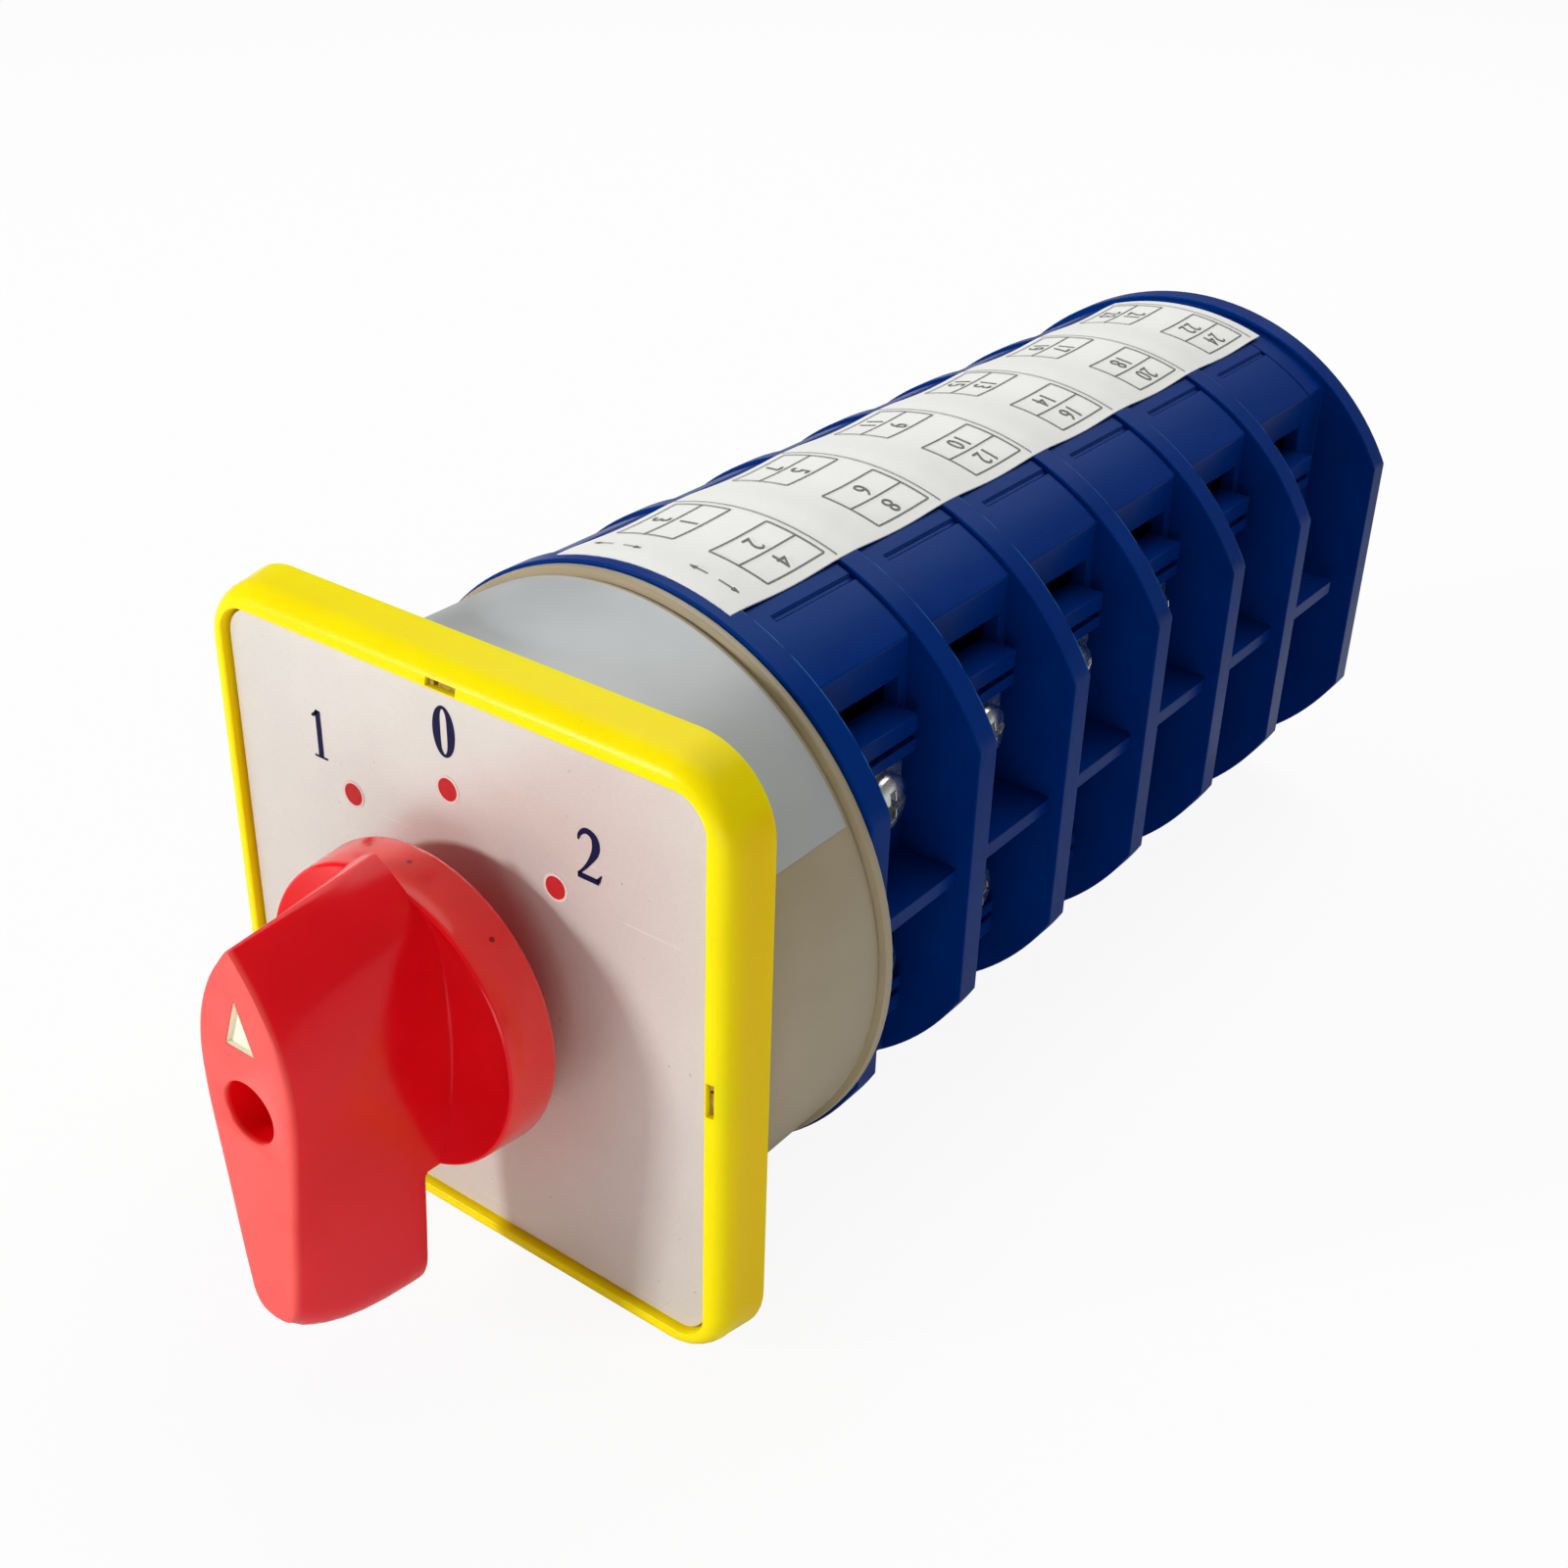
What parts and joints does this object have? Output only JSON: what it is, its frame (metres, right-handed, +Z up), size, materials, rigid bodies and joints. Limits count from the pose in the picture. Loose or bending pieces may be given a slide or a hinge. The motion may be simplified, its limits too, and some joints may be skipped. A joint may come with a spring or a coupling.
{
  "type": "rotary cam switch",
  "caption": "Panel-mounted rotary cam switch with a square dial, pointer knob and stacked contact stages with screw terminals.",
  "frame": {"origin": "on the shaft axis in the panel plane, where the bezel's back seats on the panel", "axes": "+Y along the shaft to the rear cover, the dial faces -Y, +Z up, towards position 0 on the dial"},
  "size_m": [0.064, 0.1666, 0.0644],
  "materials": {
    "yellow_plastic": "smooth moulded yellow plastic",
    "silver_plate": "satin, fine grain",
    "red_plastic": "smooth moulded red plastic",
    "cream_plastic": "smooth moulded cream plastic",
    "blue_plastic": "satin moulded dark blue plastic",
    "label_paper": "white printed label",
    "zinc_steel": "zinc plated",
    "spring_steel": "drawn wire",
    "plated_brass": "nickel plated",
    "white_nylon": "natural nylon",
    "black_nylon": "black nylon"
  },
  "bodies": {
    "housing": {"bezel": "yellow_plastic", "dial_plate": "silver_plate", "detent_housing": "cream_plastic", "detent_spring": "spring_steel", "rear_cover": "blue_plastic", "contact_label": "label_paper", "tie_rod_right": "zinc_steel", "tie_rod_left": "zinc_steel", "stage_1_housing": "blue_plastic", "terminal_01": "plated_brass", "terminal_02": "plated_brass", "terminal_03": "plated_brass", "terminal_04": "plated_brass", "stage_2_housing": "blue_plastic", "terminal_05": "plated_brass", "terminal_06": "plated_brass", "terminal_07": "plated_brass", "terminal_08": "plated_brass", "stage_3_housing": "blue_plastic", "terminal_09": "plated_brass", "terminal_10": "plated_brass", "terminal_11": "plated_brass", "terminal_12": "plated_brass", "stage_4_housing": "blue_plastic", "terminal_13": "plated_brass", "terminal_14": "plated_brass", "terminal_15": "plated_brass", "terminal_16": "plated_brass", "stage_5_housing": "blue_plastic", "terminal_17": "plated_brass", "terminal_18": "plated_brass", "terminal_19": "plated_brass", "terminal_20": "plated_brass", "stage_6_housing": "blue_plastic", "terminal_21": "plated_brass", "terminal_22": "plated_brass", "terminal_23": "plated_brass", "terminal_24": "plated_brass"},
    "rotor": {"knob": "red_plastic", "drive_shaft": "zinc_steel", "star_wheel": "white_nylon", "stage_1_cam": "white_nylon", "stage_2_cam": "white_nylon", "stage_3_cam": "white_nylon", "stage_4_cam": "white_nylon", "stage_5_cam": "white_nylon", "stage_6_cam": "white_nylon"},
    "plunger": {"detent_plunger": "black_nylon"},
    "body_stage_1_contact_upper": {"stage_1_contact_upper": "black_nylon"},
    "body_stage_1_contact_lower": {"stage_1_contact_lower": "black_nylon"},
    "body_stage_2_contact_upper": {"stage_2_contact_upper": "black_nylon"},
    "body_stage_2_contact_lower": {"stage_2_contact_lower": "black_nylon"},
    "body_stage_3_contact_upper": {"stage_3_contact_upper": "black_nylon"},
    "body_stage_3_contact_lower": {"stage_3_contact_lower": "black_nylon"},
    "body_stage_4_contact_upper": {"stage_4_contact_upper": "black_nylon"},
    "body_stage_4_contact_lower": {"stage_4_contact_lower": "black_nylon"},
    "body_stage_5_contact_upper": {"stage_5_contact_upper": "black_nylon"},
    "body_stage_5_contact_lower": {"stage_5_contact_lower": "black_nylon"},
    "body_stage_6_contact_upper": {"stage_6_contact_upper": "black_nylon"},
    "body_stage_6_contact_lower": {"stage_6_contact_lower": "black_nylon"}
  },
  "joints": [
    {"name": "handle_turn", "type": "hinge", "parent": "housing", "child": "rotor", "pos_m": [0, 0, 0], "axis": [0, 1, 0], "range_deg": [-45, 45]},
    {"name": "plunger_slide", "type": "slide", "parent": "housing", "child": "plunger", "axis": [0, 0, 1], "range_m": [0, 0.002], "stiffness_N_per_m": 800, "springref_m": -0.003, "deforming": ["detent_spring"]},
    {"name": "stage1_upper_slide", "type": "slide", "parent": "housing", "child": "body_stage_1_contact_upper", "axis": [0, 0, 1], "range_m": [-0.00157, 0.00157]},
    {"name": "stage1_lower_slide", "type": "slide", "parent": "housing", "child": "body_stage_1_contact_lower", "axis": [0, 0, 1], "range_m": [-0.00157, 0.00157]},
    {"name": "stage2_upper_slide", "type": "slide", "parent": "housing", "child": "body_stage_2_contact_upper", "axis": [0, 0, 1], "range_m": [-0.00157, 0.00157]},
    {"name": "stage2_lower_slide", "type": "slide", "parent": "housing", "child": "body_stage_2_contact_lower", "axis": [0, 0, 1], "range_m": [-0.00157, 0.00157]},
    {"name": "stage3_upper_slide", "type": "slide", "parent": "housing", "child": "body_stage_3_contact_upper", "axis": [0, 0, 1], "range_m": [-0.00157, 0.00157]},
    {"name": "stage3_lower_slide", "type": "slide", "parent": "housing", "child": "body_stage_3_contact_lower", "axis": [0, 0, 1], "range_m": [-0.00157, 0.00157]},
    {"name": "stage4_upper_slide", "type": "slide", "parent": "housing", "child": "body_stage_4_contact_upper", "axis": [0, 0, 1], "range_m": [-0.00157, 0.00157]},
    {"name": "stage4_lower_slide", "type": "slide", "parent": "housing", "child": "body_stage_4_contact_lower", "axis": [0, 0, 1], "range_m": [-0.00157, 0.00157]},
    {"name": "stage5_upper_slide", "type": "slide", "parent": "housing", "child": "body_stage_5_contact_upper", "axis": [0, 0, 1], "range_m": [-0.00157, 0.00157]},
    {"name": "stage5_lower_slide", "type": "slide", "parent": "housing", "child": "body_stage_5_contact_lower", "axis": [0, 0, 1], "range_m": [-0.00157, 0.00157]},
    {"name": "stage6_upper_slide", "type": "slide", "parent": "housing", "child": "body_stage_6_contact_upper", "axis": [0, 0, 1], "range_m": [-0.00157, 0.00157]},
    {"name": "stage6_lower_slide", "type": "slide", "parent": "housing", "child": "body_stage_6_contact_lower", "axis": [0, 0, 1], "range_m": [-0.00157, 0.00157]}
  ],
  "couplings": [
    {"joint": "stage1_upper_slide", "follows": "handle_turn", "m_per_rad": 0.002},
    {"joint": "stage1_lower_slide", "follows": "handle_turn", "m_per_rad": 0.002},
    {"joint": "stage2_upper_slide", "follows": "handle_turn", "m_per_rad": 0.002},
    {"joint": "stage2_lower_slide", "follows": "handle_turn", "m_per_rad": 0.002},
    {"joint": "stage3_upper_slide", "follows": "handle_turn", "m_per_rad": 0.002},
    {"joint": "stage3_lower_slide", "follows": "handle_turn", "m_per_rad": 0.002},
    {"joint": "stage4_upper_slide", "follows": "handle_turn", "m_per_rad": 0.002},
    {"joint": "stage4_lower_slide", "follows": "handle_turn", "m_per_rad": 0.002},
    {"joint": "stage5_upper_slide", "follows": "handle_turn", "m_per_rad": 0.002},
    {"joint": "stage5_lower_slide", "follows": "handle_turn", "m_per_rad": 0.002},
    {"joint": "stage6_upper_slide", "follows": "handle_turn", "m_per_rad": 0.002},
    {"joint": "stage6_lower_slide", "follows": "handle_turn", "m_per_rad": 0.002}
  ]
}
